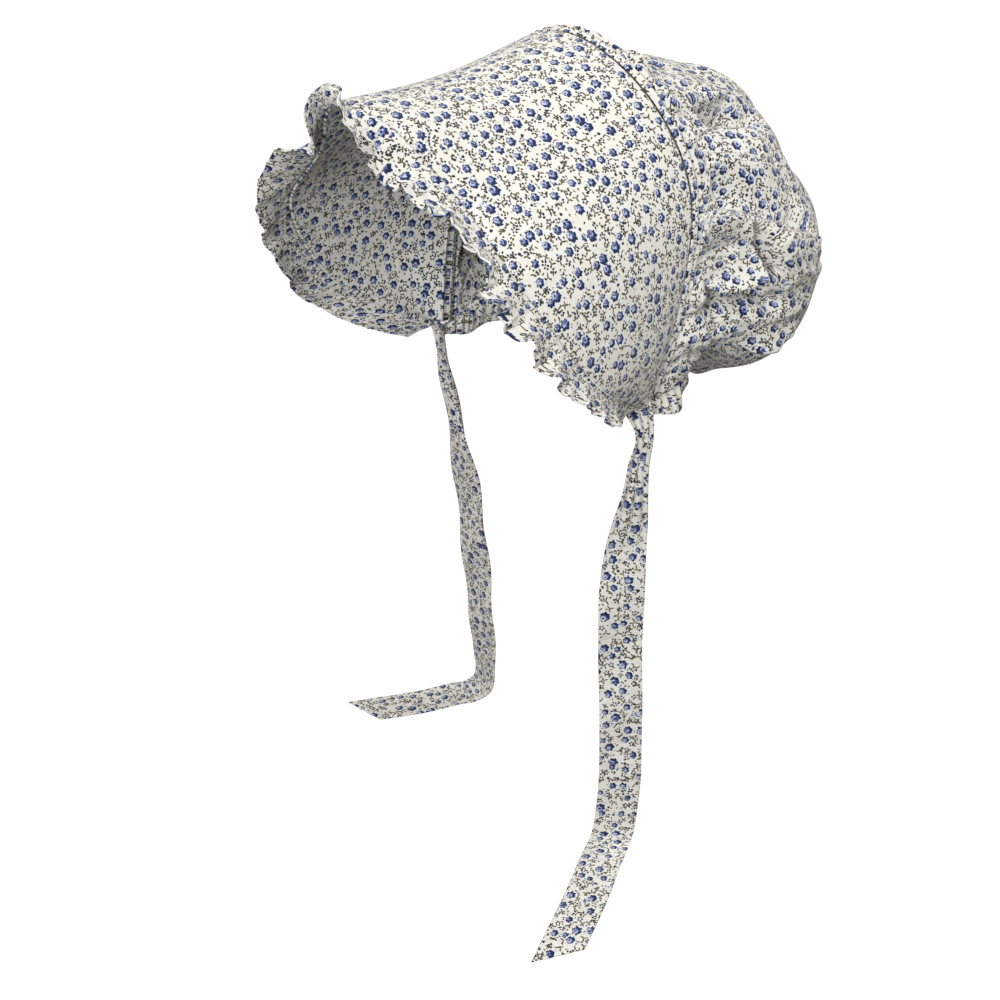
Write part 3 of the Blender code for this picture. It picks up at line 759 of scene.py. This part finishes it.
Ring = namedtuple("Ring", "share back back_top back_bottom width top bottom")
RINGS = (
    Ring(0.16, 0.13, 0.12, 0.42, 0.91, 1.13, 0.52),
    Ring(0.36, 0.40, 0.38, 0.58, 1.00, 1.04, 0.70),
    Ring(0.56, 0.68, 0.65, 0.75, 0.92, 0.91, 0.82),
    Ring(0.75, 0.90, 0.87, 0.91, 0.66, 0.62, 0.66),
    Ring(0.90, 0.98, 0.97, 0.99, 0.30, 0.28, 0.32),
    Ring(1.00, 1.00, 1.00, 1.00, 0.00, 0.00, 0.00),
)
Fold = namedtuple("Fold", "from_angle from_share to_angle to_share bow spread height")
FOLDS = (
    Fold(27, 0.00, 14, 0.52, 0.002, 0.012, 0.004),
    Fold(6, 0.06, 6, 0.27, -0.010, 0.007, 0.003),
    Fold(6, 0.27, 18, 0.20, 0.004, 0.006, 0.002),
    Fold(-6, 0.07, -5, 0.32, 0.000, 0.012, -0.020),
    Fold(12, 0.08, 12, 0.19, 0.000, 0.009, -0.009),
    Fold(3, 0.06, -16, 0.07, 0.000, 0.005, 0.005),
    Fold(-34, 0.18, -20, 0.44, -0.004, 0.009, 0.007),
    Fold(-46, 0.14, -40, 0.45, 0.000, 0.011, -0.007),
    Fold(38, 0.10, 41, 0.38, 0.003, 0.008, 0.006),
    Fold(48, 0.12, 50, 0.34, 0.000, 0.009, -0.005),
    Fold(59, 0.26, 52, 0.50, 0.004, 0.010, -0.010),
    Fold(80, 0.12, 76, 0.32, 0.000, 0.017, -0.004),
    Fold(74, 0.42, 66, 0.62, 0.000, 0.016, 0.005),
    Fold(42, 0.52, 34, 0.74, 0.000, 0.018, -0.008),
    Fold(-70, 0.30, -82, 0.62, 0.000, 0.014, 0.006),
    Fold(-112, 0.24, -100, 0.60, 0.000, 0.012, -0.007),
    Fold(150, 0.04, 166, 0.60, 0.003, 0.011, 0.009),
    Fold(178, 0.10, 172, 0.42, -0.006, 0.010, -0.011),
    Fold(196, 0.06, 184, 0.40, 0.000, 0.009, 0.008),
    Fold(216, 0.16, 208, 0.50, 0.000, 0.011, -0.008),
    Fold(128, 0.16, 136, 0.52, 0.004, 0.011, -0.008),
    Fold(96, 0.02, 100, 0.34, 0.000, 0.030, -0.005),
    Fold(90, 0.70, 250, 0.78, 0.010, 0.014, -0.006),
    Fold(10, 0.78, 196, 0.90, 0.008, 0.012, 0.005),
)


Crease = namedtuple("Crease", "from_angle from_share to_angle to_share bow above below height lean")
CREASES = (
    Crease(22.5, 0.03, 18.0, 0.25, -0.002, 0.0026, 0.0110, 0.0060, -0.0030),
    Crease(18.0, 0.24, 11.5, 0.50, -0.001, 0.0030, 0.0200, 0.0040, -0.0010),
    Crease(12.0, 0.28, 7.0, 0.54, 0.000, 0.0100, 0.0120, 0.0040, 0.0000),
    Crease(26.0, 0.06, 16.0, 0.46, -0.004, 0.0130, 0.0030, -0.0110, 0.0010),
    Crease(13.0, 0.05, 12.5, 0.215, 0.000, 0.0140, 0.0060, -0.0100, 0.0000),
    Crease(17.5, 0.208, 7.0, 0.238, 0.002, 0.0020, 0.0070, 0.0035, -0.0035),
    Crease(19.0, 0.236, 5.5, 0.284, 0.001, 0.0040, 0.0036, -0.0170, 0.0000),
    Crease(16.0, 0.290, 0.0, 0.340, 0.000, 0.0120, 0.0060, 0.0040, 0.0000),
    Crease(8.5, 0.06, 8.0, 0.262, 0.006, 0.0034, 0.0020, 0.0080, 0.0050),
    Crease(4.5, 0.07, 4.0, 0.275, 0.006, 0.0022, 0.0100, -0.0150, 0.0000),
    Crease(5.0, 0.070, -26.0, 0.120, 0.000, 0.0018, 0.0060, 0.0042, -0.0020),
    Crease(3.0, 0.098, -20.0, 0.145, 0.000, 0.0110, 0.0018, -0.0055, 0.0000),
    Crease(25.0, 0.042, 8.0, 0.056, 0.000, 0.0022, 0.0030, -0.0070, 0.0000),
    Crease(-24.0, 0.13, -21.0, 0.37, 0.008, 0.0100, 0.0025, 0.0052, 0.0040),
    Crease(-33.0, 0.13, -29.0, 0.42, 0.008, 0.0030, 0.0150, -0.0090, 0.0000),
    Crease(58.0, 0.25, 61.0, 0.40, 0.000, 0.0100, 0.0022, 0.0055, 0.0045),
    Crease(54.5, 0.24, 57.0, 0.40, 0.000, 0.0024, 0.0090, -0.0150, 0.0000),
    Crease(48.0, 0.28, 44.0, 0.46, 0.000, 0.0050, 0.0090, 0.0035, 0.0000),
    Crease(36.0, 0.04, 34.5, 0.38, 0.003, 0.0022, 0.0120, 0.0040, -0.0030),
    Crease(40.5, 0.06, 39.5, 0.37, 0.003, 0.0080, 0.0024, -0.0050, 0.0000),
    Crease(31.0, 0.04, 29.0, 0.17, 0.000, 0.0040, 0.0040, -0.0022, 0.0000),
    Crease(25.0, 0.20, 21.5, 0.40, 0.003, 0.0050, 0.0040, 0.0022, 0.0000),
    Crease(-10.0, 0.22, -8.0, 0.50, 0.005, 0.0090, 0.0060, 0.0030, 0.0000),
    Crease(7.0, 0.34, 1.0, 0.60, 0.003, 0.0040, 0.0100, 0.0030, 0.0000),
    Crease(30.0, 0.40, 25.0, 0.62, 0.003, 0.0080, 0.0050, -0.0030, 0.0000),
    Crease(72.0, 0.05, 70.0, 0.24, 0.002, 0.0050, 0.0030, 0.0025, 0.0000),
    Crease(84.0, 0.04, 80.0, 0.30, 0.000, 0.0040, 0.0070, -0.0030, 0.0000),
)


def nape_line(share):
    """From the right corner (-1) round the nape to the left corner (1), where the crown is gathered."""
    corner = band_back(np.array([1.0]))[0]
    back = np.cos(share * math.pi / 2)
    x = corner[0] * np.sin(share * math.pi / 2)
    y = corner[1] + NAPE_REACH * back**0.8
    z = corner[2] + NAPE_RISE * back
    return np.stack([x, y, z], axis=-1)


def crown_loop(turn):
    """The line that the crown is gathered to, over the arch and back round the nape. With each point come the
    direction in which the cloth leaves it and its angle round the crown."""
    arch_part = 0.66
    on_arch = (turn <= arch_part)[:, None]
    over = 2 * np.clip(turn / arch_part, 0, 1) - 1
    under = 1 - 2 * np.clip((turn - arch_part) / (1 - arch_part), 0, 1)
    line = np.where(on_arch, band_back(over), nape_line(under))
    leave = np.where(on_arch, -brim_frame(over)[2], unit(np.array([0, 1, -0.4])))
    on_line = np.arctan2(line[:, 2] - CROWN_CENTRE_Z, line[:, 0])
    angle = np.where(on_arch[:, 0], on_line, (on_line[0] + math.pi / 2) * -under - math.pi / 2)
    return line, leave, angle


def crown_grid(turn, shares):
    """Smooth bag of the crown, from the line it is gathered to (share 0) to its back (share 1)."""
    line, leave, angle = crown_loop(turn)
    up = np.sin(angle)
    points = [line, line + leave * CROWN_HEAD]
    for ring in RINGS:
        back = ring.back + up**2 * (np.where(up > 0, ring.back_top, ring.back_bottom) - ring.back)
        x = ring.width * CROWN_WIDTH / 2 * np.cos(angle)
        y = ARCH_TOP_Y + BAND_WIDTH + CROWN_DEPTH * back
        z = CROWN_CENTRE_Z + np.where(up > 0, ring.top, ring.bottom) * CROWN_HEIGHT / 2 * up
        points.append(np.stack([x, y, z], axis=-1))
    grid = smooth([0.0, HEAD_SHARE] + [ring.share for ring in RINGS], points, shares)
    return grid.transpose(1, 0, 2), angle


def fold_places(fold, angle, share):
    """Where points lie beside a fold, with the crown laid flat: the share along it, the metres off its bowed
    line, and the direction off it. Comes once for each whole turn that may reach round to the fold."""
    size = np.array([math.radians(1) * CROWN_WIDTH / 2, 1.5 * CROWN_DEPTH])
    start = np.array([fold.from_angle, fold.from_share]) * size
    run = np.array([fold.to_angle, fold.to_share]) * size - start
    length = np.linalg.norm(run)
    run = run / length
    for turn in (-360, 0, 360):
        dx = (np.degrees(angle) + turn) * size[0] - start[0]
        dy = share * size[1] - start[1]
        on = (dx * run[0] + dy * run[1]) / length
        off = dy * run[0] - dx * run[1] - 4 * fold.bow * on * (1 - on)
        yield on, off, (-run[1], run[0])


def fold_height(angle, share):
    """How far the crown's broad folds lift its surface at an angle and a share."""
    lift = np.zeros(np.broadcast(angle, share).shape)
    for fold in FOLDS:
        for on, off, _ in fold_places(fold, angle, share):
            past = np.maximum(0, np.abs(on - 0.5) - 0.35) / 0.3
            lift += fold.height * np.exp(-((off / fold.spread) ** 2) - past**2 * 3)
    return lift


def crease_shift(creases, angle, share):
    """Shift by sharp creases, steep on one side: outward, round the crown, and toward its back."""
    lift, round_it, backward = np.zeros((3,) + np.broadcast(angle, share).shape)
    for crease in creases:
        for on, off, (across_x, across_y) in fold_places(crease, angle, share):
            past = np.maximum(0, np.abs(on - 0.5) - 0.36) / 0.14
            spread = np.where(off > 0, crease.below, crease.above)
            shape = np.exp(-np.abs(off / spread) ** 1.5 - past**2 * 1.6)
            lift += crease.height * shape
            round_it += crease.lean * across_x * shape
            backward += crease.lean * across_y * shape
    return lift, round_it, backward


def chance_creases(count, seed):
    """Small radial creases that run from the gathers into the bag, with uneven lengths, heights and sides."""
    chance = np.random.default_rng(seed)
    found = []
    for i in range(count):
        angle = -180 + 360 * (i + chance.uniform(0, 0.8)) / count
        start = chance.uniform(0.03, 0.07)
        length = chance.uniform(0.06, 0.30)
        strength = 0.5 if -40 < angle < 70 else 1.0
        found.append(Crease(
            angle, start, angle + chance.uniform(-7, 7), start + length, chance.uniform(-0.004, 0.004),
            chance.uniform(0.0025, 0.006), chance.uniform(0.004, 0.010),
            strength * chance.uniform(0.0015, 0.0040), chance.uniform(-0.0015, 0.0015),
        ))
    return tuple(found)


# The grid's columns stand closer on the wearer's left, where the creases are sharpest, and its rows stand
# closer near the gathers.
closeness = 1 + 0.9 * np.exp(-(((np.linspace(0, 1, 2000) - 0.58) / 0.13) ** 4))
counted = np.append(0, np.cumsum(closeness))
column_places = np.arange(CROWN_COLUMNS) / CROWN_COLUMNS * counted[-1]
turn = np.interp(column_places, counted, np.linspace(0, 1, len(counted)))
bag_shares = HEAD_SHARE + (CROWN_END - HEAD_SHARE) * np.linspace(0, 1, CROWN_ROWS) ** 1.25
shares = np.append(HEADING_SHARES, bag_shares)
crown_base, crown_angle = crown_grid(turn, shares)
tangent_round = unit(np.roll(crown_base, -1, axis=0) - np.roll(crown_base, 1, axis=0))
tangent_back = unit(np.gradient(crown_base, axis=1))
normal = unit(np.cross(tangent_round, tangent_back))
free = ease((shares - HEAD_SHARE) / FREE_FROM_HEADING)
gather = GATHER_DEPTH * gather_wave(turn * 2 - 1, CROWN_GATHERS, 0.4)[:, None]
gather = gather * ease(1 - shares / GATHER_REACH)
loop_run = path_length(np.vstack([crown_base[:, 0], crown_base[:1, 0]]))[:-1]
fine, _ = loose_wave(loop_run, 0.0062, 21)
broad, _ = loose_wave(loop_run, 0.0105, 8)
pleat = 0.0007 * fine[:, None] * np.exp(-shares / 0.05) + 0.0010 * broad[:, None] * np.exp(-shares / 0.10)
lift, round_it, backward = crease_shift(CREASES + chance_creases(34, 4), crown_angle[:, None], shares[None])
lift = (lift + fold_height(crown_angle[:, None], shares[None]) + gather) * free
lift = lift + pleat * ease(shares / HEAD_SHARE)
lift += HEADING_RISE * np.exp(-(((shares - 0.013) / 0.006) ** 2))
lift -= HEADING_TUCK * np.exp(-(((shares - 0.003) / 0.004) ** 2))
crown_points = crown_base + normal * lift[..., None]
crown_points += tangent_back * (backward * free)[..., None] - tangent_round * (round_it * free)[..., None]
crown_points[:, 0] -= UNDER_BAND_DEPTH * normal[:, 0] + UNDER_BAND_REACH * tangent_back[:, 0]

# The print is laid on the folded cloth gore by gore, so that it keeps its size on the slopes of every fold.
# The tucks between the gores hide where it doesn't meet.


def lengths(points, way_x, way_y):
    """Pairs of grid places one step apart, and the length on the cloth between them."""
    here = (slice(0, points.shape[0] - way_x), slice(max(0, -way_y), points.shape[1] - max(0, way_y)))
    there = (slice(way_x, None), slice(max(0, way_y), points.shape[1] - max(0, -way_y)))
    return here, there, np.linalg.norm(points[there] - points[here], axis=-1)


def laid_flat(points):
    """Flat places of a gore's grid of points, eased until each short step has its length on the cloth."""
    middle = len(points) // 2
    around = path_length(points)
    flat = np.stack([around - around[middle], path_length(points.transpose(1, 0, 2)).T], axis=-1)
    steps = [lengths(points, *way) for way in ((1, 0), (0, 1), (1, 1), (1, -1))]
    for _ in range(220):
        push = np.zeros_like(flat)
        for here, there, length in steps:
            gap = flat[there] - flat[here]
            move = gap * (0.5 - 0.5 * length / np.maximum(np.linalg.norm(gap, axis=-1), 1e-6))[..., None]
            push[here] += move
            push[there] -= move
        flat += 0.3 * push
    return flat


columns = np.searchsorted(turn, np.concatenate([[0.0], CROWN_TUCKS]))
columns = np.append(columns, CROWN_COLUMNS)
closed_points = np.vstack([crown_points, crown_points[:1]])
flat_here = np.zeros((CROWN_COLUMNS, len(shares), 2))
flat_next = np.zeros_like(flat_here)
for gore, (first, last) in enumerate(zip(columns[:-1], columns[1:])):
    flat = laid_flat(closed_points[first:last + 1]) + np.array([0.07 * gore + 1.6, 0.3])
    flat_here[first:last] = flat[:-1]
    flat_next[first:last] = flat[1:]
pole = crown_points[:, -1].mean(axis=0)
index = np.arange(CROWN_COLUMNS * len(shares)).reshape(CROWN_COLUMNS, len(shares))
following = np.roll(index, -1, axis=0)
crown_faces = np.stack([index[:, :-1], following[:, :-1], following[:, 1:], index[:, 1:]], axis=-1)
crown_corners = np.stack([flat_here[:, :-1], flat_next[:, :-1], flat_next[:, 1:], flat_here[:, 1:]], axis=2)
last = np.full(CROWN_COLUMNS, index.size)
cap_faces = np.stack([index[:, -1], following[:, -1], last, np.full_like(last, -1)], axis=-1)
cap_middle = (flat_here[:, -1] + flat_next[:, -1]) / 2 + np.array([0, 0.002])
cap_corners = np.stack([flat_here[:, -1], flat_next[:, -1], cap_middle, cap_middle], axis=1)
crown = finished_cloth(
    "crown_cloth", np.vstack([crown_points.reshape(-1, 3), pole[None]]),
    np.vstack([crown_faces.reshape(-1, 4), cap_faces]),
    np.vstack([crown_corners.reshape(-1, 4, 2), cap_corners]), 0, soft_calico)
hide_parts("crown")


# Nape frill
# A short strip of the same cloth, hemmed below and gathered above into the seam under the nape. It flares out
# a little in loose waves and narrows toward its two ends, which are sewn down by the ties.
FRILL_DROP = 0.019
FRILL_FLARE = math.radians(16)
FRILL_WAVES = 7
FRILL_DEPTH = 0.0042
FRILL_PLEAT = 0.0024
FRILL_PLEAT_PITCH = 0.0065
FRILL_END_SHARE = 0.55
FRILL_END_SHIFT = 0.007
FRILL_PRINT_FROM = -0.3
FRILL_WALL = 0.0010
FRILL_COLUMNS = 500
FRILL_ROWS = 14

shares = np.linspace(-1, 1, FRILL_COLUMNS + 1)
line = nape_line(shares)
line[:, 1] -= FRILL_END_SHIFT * ease((np.abs(shares) - 0.86) / 0.14)
out = line - line[[0, -1]].mean(axis=0)
out[:, 1] += NAPE_REACH / 3
out[:, 2] = 0
out = unit(out)[:, None]
fall = (FRILL_DROP * np.linspace(0, 1, FRILL_ROWS + 1))[None, :, None]
frill_run = path_length(line)
pleats, _ = loose_wave(frill_run, FRILL_PLEAT_PITCH, 13)
wave = FRILL_DEPTH * gather_wave(shares, FRILL_WAVES, 0.9)[:, None, None] * ease(fall / FRILL_DROP)
wave = wave + FRILL_PLEAT * pleats[:, None, None] * np.sin(math.pi * (fall / FRILL_DROP) ** 0.6)
narrowed = FRILL_END_SHARE + (1 - FRILL_END_SHARE) * ease((1 - np.abs(shares)) / 0.12)
fall = fall * narrowed[:, None, None]
down = np.array([0, 0, -1.0])
frill_grid = line[:, None] + down * (JOIN_GAP + CROWN_WALL + fall * math.cos(FRILL_FLARE))
frill_grid = frill_grid + out * (fall * math.sin(FRILL_FLARE) + wave)
edge_run = path_length(frill_grid[:, -1])
frill_flat = np.stack([np.broadcast_to(edge_run[:, None], frill_grid.shape[:2]),
                       fall[..., 0] + FRILL_PRINT_FROM], axis=-1)
frill = cloth_piece("nape_frill_cloth", frill_grid[::-1], frill_flat[::-1], FRILL_WALL, soft_calico)
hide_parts("nape_frill")


# Ties
# Two long strips, folded double with turned edges and sewn into the brim's lower corners. Each is pleated at
# its root, widens as it hangs, and lies on the surface at its slanted end.
TIE_LENGTH = 0.480
TIE_WIDTH = 0.031
TIE_SLANT = 0.020
TIE_TUCK = 0.003
TIE_WALL = 0.0012
TIE_PLEAT = 0.0022
TIE_RIPPLE = 0.0013
TIE_CUP = 0.0014
SURFACE_Z = cad_box[0][2]
TIE_ROWS = 300
TIE_ACROSS = 28

Lay = namedtuple("Lay", "share side depth fall turn width")
LEFT_LAY = (
    Lay(0.00, -0.009, -0.003, 0.000, 24, 0.74),
    Lay(0.02, -0.005, 0.000, 0.027, 25, 0.62),
    Lay(0.04, 0.002, 0.003, 0.055, 26, 0.41),
    Lay(0.10, -0.006, 0.005, 0.137, 30, 0.44),
    Lay(0.14, -0.009, 0.005, 0.192, 33, 0.53),
    Lay(0.18, -0.014, 0.004, 0.248, 35, 0.73),
    Lay(0.22, -0.018, 0.003, 0.303, 37, 0.88),
    Lay(0.27, -0.021, 0.003, 0.373, 40, 0.99),
    Lay(0.38, -0.020, 0.003, 0.525, 44, 1.00),
    Lay(0.50, -0.012, 0.003, 0.690, 46, 1.00),
    Lay(0.64, -0.008, 0.001, 0.880, 46, 1.00),
    Lay(0.71, -0.009, -0.007, 0.970, 42, 1.00),
    Lay(0.77, -0.003, -0.031, 1.000, 36, 1.00),
    Lay(0.87, 0.042, -0.121, 1.000, 30, 1.00),
    Lay(1.00, 0.104, -0.259, 1.000, 25, 0.96),
)
RIGHT_LAY = (
    Lay(0.00, 0.000, 0.000, 0.000, -24, 0.66),
    Lay(0.02, -0.002, 0.005, 0.026, -22, 0.56),
    Lay(0.04, -0.003, 0.010, 0.052, -20, 0.40),
    Lay(0.10, -0.006, 0.024, 0.130, -16, 0.44),
    Lay(0.14, -0.007, 0.033, 0.183, -13, 0.53),
    Lay(0.18, -0.007, 0.041, 0.236, -11, 0.73),
    Lay(0.22, -0.008, 0.049, 0.289, -9, 0.88),
    Lay(0.27, -0.008, 0.057, 0.355, -6, 0.99),
    Lay(0.38, -0.009, 0.073, 0.500, -2, 1.00),
    Lay(0.50, -0.010, 0.089, 0.660, 0, 1.00),
    Lay(0.66, -0.016, 0.108, 0.868, -8, 1.00),
    Lay(0.74, -0.030, 0.117, 0.962, -18, 1.00),
    Lay(0.80, -0.056, 0.103, 1.000, -26, 1.00),
    Lay(0.90, -0.096, 0.015, 1.000, -28, 1.00),
    Lay(1.00, -0.157, -0.092, 1.000, -38, 0.96),
)


def tie(name, node, rows, side, seed):
    """One tie, with pleats at its root that open out and slight ripples along its hanging length."""
    back, front, _, outward = brim_frame(np.array([float(side)]))
    root = ((back + front - outward * BRIM_WALL) / 2)[0] + np.array([0, 0, TIE_TUCK])
    shares = np.linspace(0, 1, TIE_ROWS + 1)[:, None]
    across = np.linspace(-1, 1, TIE_ACROSS + 1)[None]
    cut = 1 - TIE_SLANT / TIE_LENGTH * (1 + across) / 2
    at = (shares * cut).ravel()
    centre = root + np.stack([
        along_rows(rows, "side", at) * TIE_LENGTH,
        along_rows(rows, "depth", at) * TIE_LENGTH,
        along_rows(rows, "fall", at) * (SURFACE_Z - root[2]),
    ], axis=-1)
    centre[:, 2] = np.maximum(centre[:, 2], SURFACE_Z)
    turn = np.radians(along_rows(rows, "turn", at))
    level = np.stack([np.cos(turn), np.sin(turn), np.zeros_like(turn)], axis=-1)
    facing = np.stack([-np.sin(turn), np.cos(turn), np.zeros_like(turn)], axis=-1)
    wide = along_rows(rows, "width", at)
    place = np.broadcast_to(across, (TIE_ROWS + 1, TIE_ACROSS + 1)).ravel()
    chance = np.random.default_rng(seed)
    gathered = TIE_PLEAT * (np.maximum(0, 1 - wide) / 0.6) ** 0.7
    pleat = gathered * np.sin(place * 9.5 + 0.8 * place**2 + chance.uniform(0, 3))
    hanging = ease(at / 0.1) * ease((0.66 - at) / 0.1)
    ripple = TIE_RIPPLE * hanging * np.sin(at * 38 + place * 1.4 + chance.uniform(0, 6))
    cupped = TIE_CUP * hanging * place**2 * np.sin(at * 9 + chance.uniform(0, 6))
    points = centre + level * (wide * TIE_WIDTH / 2 * place)[:, None]
    points = points + facing * (pleat + ripple + cupped)[:, None]
    grid = points.reshape(TIE_ROWS + 1, TIE_ACROSS + 1, 3)
    flat = np.stack([place * TIE_WIDTH / 2, at * TIE_LENGTH + seed], axis=-1)
    flat = flat.reshape(TIE_ROWS + 1, TIE_ACROSS + 1, 2)
    obj = cloth_piece(name, grid, flat, TIE_WALL, soft_calico)
    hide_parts(node)


tie("tie_left_cloth", "tie_left", LEFT_LAY, 1, 1)
tie("tie_right_cloth", "tie_right", RIGHT_LAY, -1, 2)


# Studio
# A plain floor at the height the ties' ends lie on, which looks white and throws little light back up, soft
# light from above and from low in front, and the camera at the angle of the photograph.
CAMERA_ANGLE = math.radians(46)
CAMERA_DISTANCE = 0.867
CAMERA_HEIGHT = 0.17
CAMERA_DOWN = math.radians(28.4)
LENS_MM = 50.94
FLOOR_HALF = 6.0
FLOOR_BELOW = 0.0008
FLOOR_TONES = ("#656462", "#615f5d")
DAYLIGHT = "#fff5e6"
DAYLIGHT_STRENGTH = 0.31


def area_light(name, place, size, power):
    """A square soft light, turned to the middle of the hood."""
    light = bpy.data.lights.new(name, "AREA")
    light.size = size
    light.energy = power
    obj = bpy.data.objects.new(name, light)
    obj.location = place
    obj.rotation_euler = (Vector((0, 0, -0.15)) - Vector(place)).to_track_quat("-Z", "Y").to_euler()
    bpy.context.scene.collection.objects.link(obj)


def studio_floor():
    """A wide matt board with a faint grain. It glows white to the eye alone, and its own tone is grey."""
    mesh = bpy.data.meshes.new("floor")
    ends = ((-1, -1), (1, -1), (1, 1), (-1, 1))
    corners = [(FLOOR_HALF * x, FLOOR_HALF * y, SURFACE_Z - FLOOR_BELOW) for x, y in ends]
    mesh.from_pydata(corners, [], [(0, 1, 2, 3)])
    material = bpy.data.materials.new("pale_matt_board")
    material.use_nodes = True
    tree = material.node_tree
    surface = tree.nodes["Principled BSDF"]
    place = add(tree, "ShaderNodeTexCoord")
    grain = add(tree, "ShaderNodeTexNoise")
    tree.links.new(place.outputs["Object"], grain.inputs["Vector"])
    grain.inputs["Scale"].default_value = 3
    tone = add(tree, MIX, data_type="RGBA")
    tree.links.new(grain.outputs[0], tone.inputs["Factor"])
    tone.inputs["A"].default_value = linear(FLOOR_TONES[0])
    tone.inputs["B"].default_value = linear(FLOOR_TONES[1])
    tree.links.new(tone.outputs["Result"], surface.inputs["Base Color"])
    surface.inputs["Roughness"].default_value = 0.95
    surface.inputs["Specular IOR Level"].default_value = 0.1
    surface.inputs["Emission Color"].default_value = linear("#ffffff")
    seen = add(tree, "ShaderNodeLightPath")
    tree.links.new(seen.outputs["Is Camera Ray"], surface.inputs["Emission Strength"])
    mesh.materials.append(material)
    obj = bpy.data.objects.new("floor", mesh)
    bpy.context.scene.collection.objects.link(obj)


studio_floor()
area_light("front", (1.12, -1.58, 0.72), 0.7, 23)
area_light("side", (1.45, -0.15, 1.30), 0.7, 6)
area_light("low", (0.95, -1.70, 0.02), 0.7, 8)
area_light("left", (-1.22, -0.70, 1.54), 0.8, 14)
area_light("back", (0.63, 1.09, 1.65), 0.8, 17)
world = bpy.data.worlds.new("soft_daylight")
world.use_nodes = True
world.node_tree.nodes["Background"].inputs["Color"].default_value = linear(DAYLIGHT)
world.node_tree.nodes["Background"].inputs["Strength"].default_value = DAYLIGHT_STRENGTH
bpy.context.scene.world = world
bpy.context.scene.view_settings.view_transform = "Standard"

camera_data = bpy.data.cameras.new("camera")
camera_data.lens = LENS_MM
camera_data.sensor_width = 36
camera = bpy.data.objects.new("camera", camera_data)
camera.location = (CAMERA_DISTANCE * math.sin(CAMERA_ANGLE), -CAMERA_DISTANCE * math.cos(CAMERA_ANGLE),
                   CAMERA_HEIGHT)
camera.rotation_euler = (math.pi / 2 - CAMERA_DOWN, 0, CAMERA_ANGLE)
bpy.context.scene.collection.objects.link(camera)
bpy.context.scene.camera = camera
